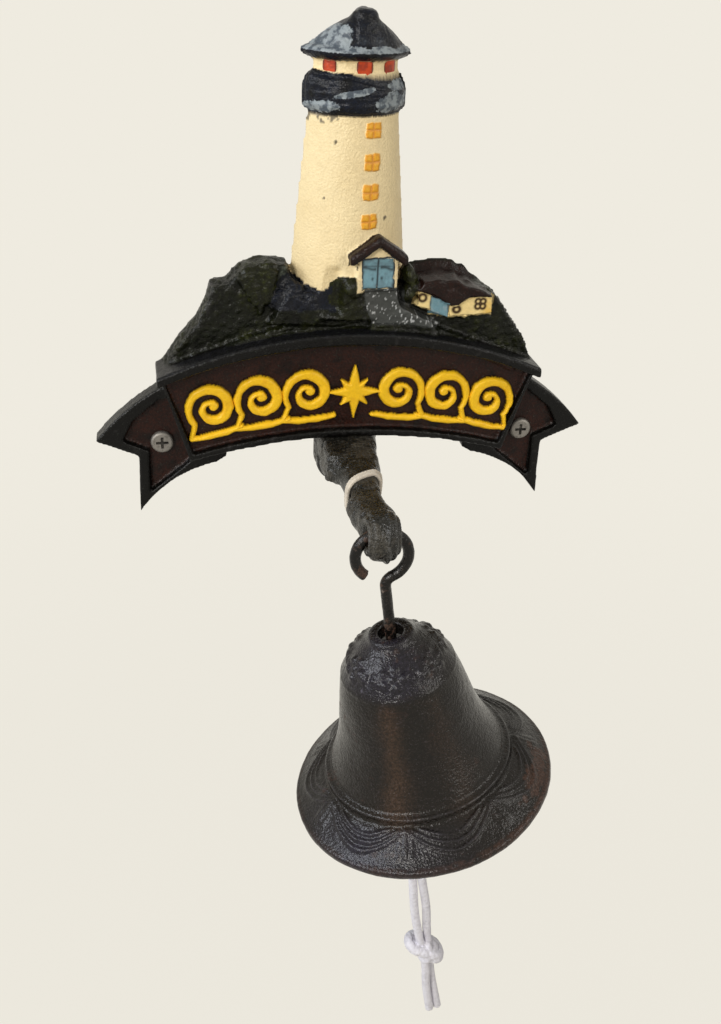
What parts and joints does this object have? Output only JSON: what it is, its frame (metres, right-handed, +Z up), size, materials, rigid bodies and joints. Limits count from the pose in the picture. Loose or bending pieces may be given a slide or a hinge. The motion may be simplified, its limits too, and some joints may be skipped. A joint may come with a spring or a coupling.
{
  "type": "wall bell",
  "caption": "Cast-iron wall bell: painted tower plaque with a ribbon banner, hanger arm, open hook, flared bell, clapper and a knotted pull cord.",
  "frame": {"origin": "midway between the two wall screws on the wall plane, where the arm's root bears on the wall", "axes": "+Z up, +X right seen from the room, +Y into the wall; the bell hangs on the -Y side"},
  "size_m": [0.19, 0.1461, 0.4033],
  "materials": {
    "plate_paint": "cast iron painted by hand in many colours, worn",
    "arm_iron": "black enamel over rough cast iron",
    "screw_steel": "bright zinc-plated steel",
    "band_cotton": "matt off-white covered elastic",
    "hook_iron": "black enamel worn to brown iron",
    "bell_iron": "glossy black enamel on cast iron, worn at the rim",
    "clapper_iron": "rough dark cast iron",
    "cord_cotton": "braided off-white cotton"
  },
  "bodies": {
    "plate": {"wall_plate": "plate_paint", "hanger_arm": "arm_iron", "arm_screw": "screw_steel", "wall_screw_left": "screw_steel", "wall_screw_right": "screw_steel", "arm_band": "band_cotton"},
    "hook": {"bell_hook": "hook_iron"},
    "bell": {"bell": "bell_iron"},
    "clapper": {"clapper": "clapper_iron"},
    "cord": {"pull_cord": "cord_cotton", "cord_knot": "cord_cotton"}
  },
  "joints": [
    {"name": "hook_swing", "type": "hinge", "parent": "plate", "child": "hook", "pos_m": [0, -0.0765, -0.0042], "axis": [-1, 0, 0], "range_deg": [-14, 70]},
    {"name": "bell_turn", "type": "hinge", "parent": "hook", "child": "bell", "pos_m": [0.00537, -0.0765, -0.04374], "axis": [0.2351, 0, -0.972], "continuous": true},
    {"name": "clapper_swing", "type": "hinge", "parent": "hook", "child": "clapper", "pos_m": [0.00763, -0.0765, -0.05865], "axis": [1, 0, 0], "range_deg": [-24.5, 24.5]},
    {"name": "cord_swing", "type": "hinge", "parent": "clapper", "child": "cord", "pos_m": [0.01673, -0.0765, -0.11889], "axis": [1, 0, 0], "range_deg": [-45, 45]}
  ]
}
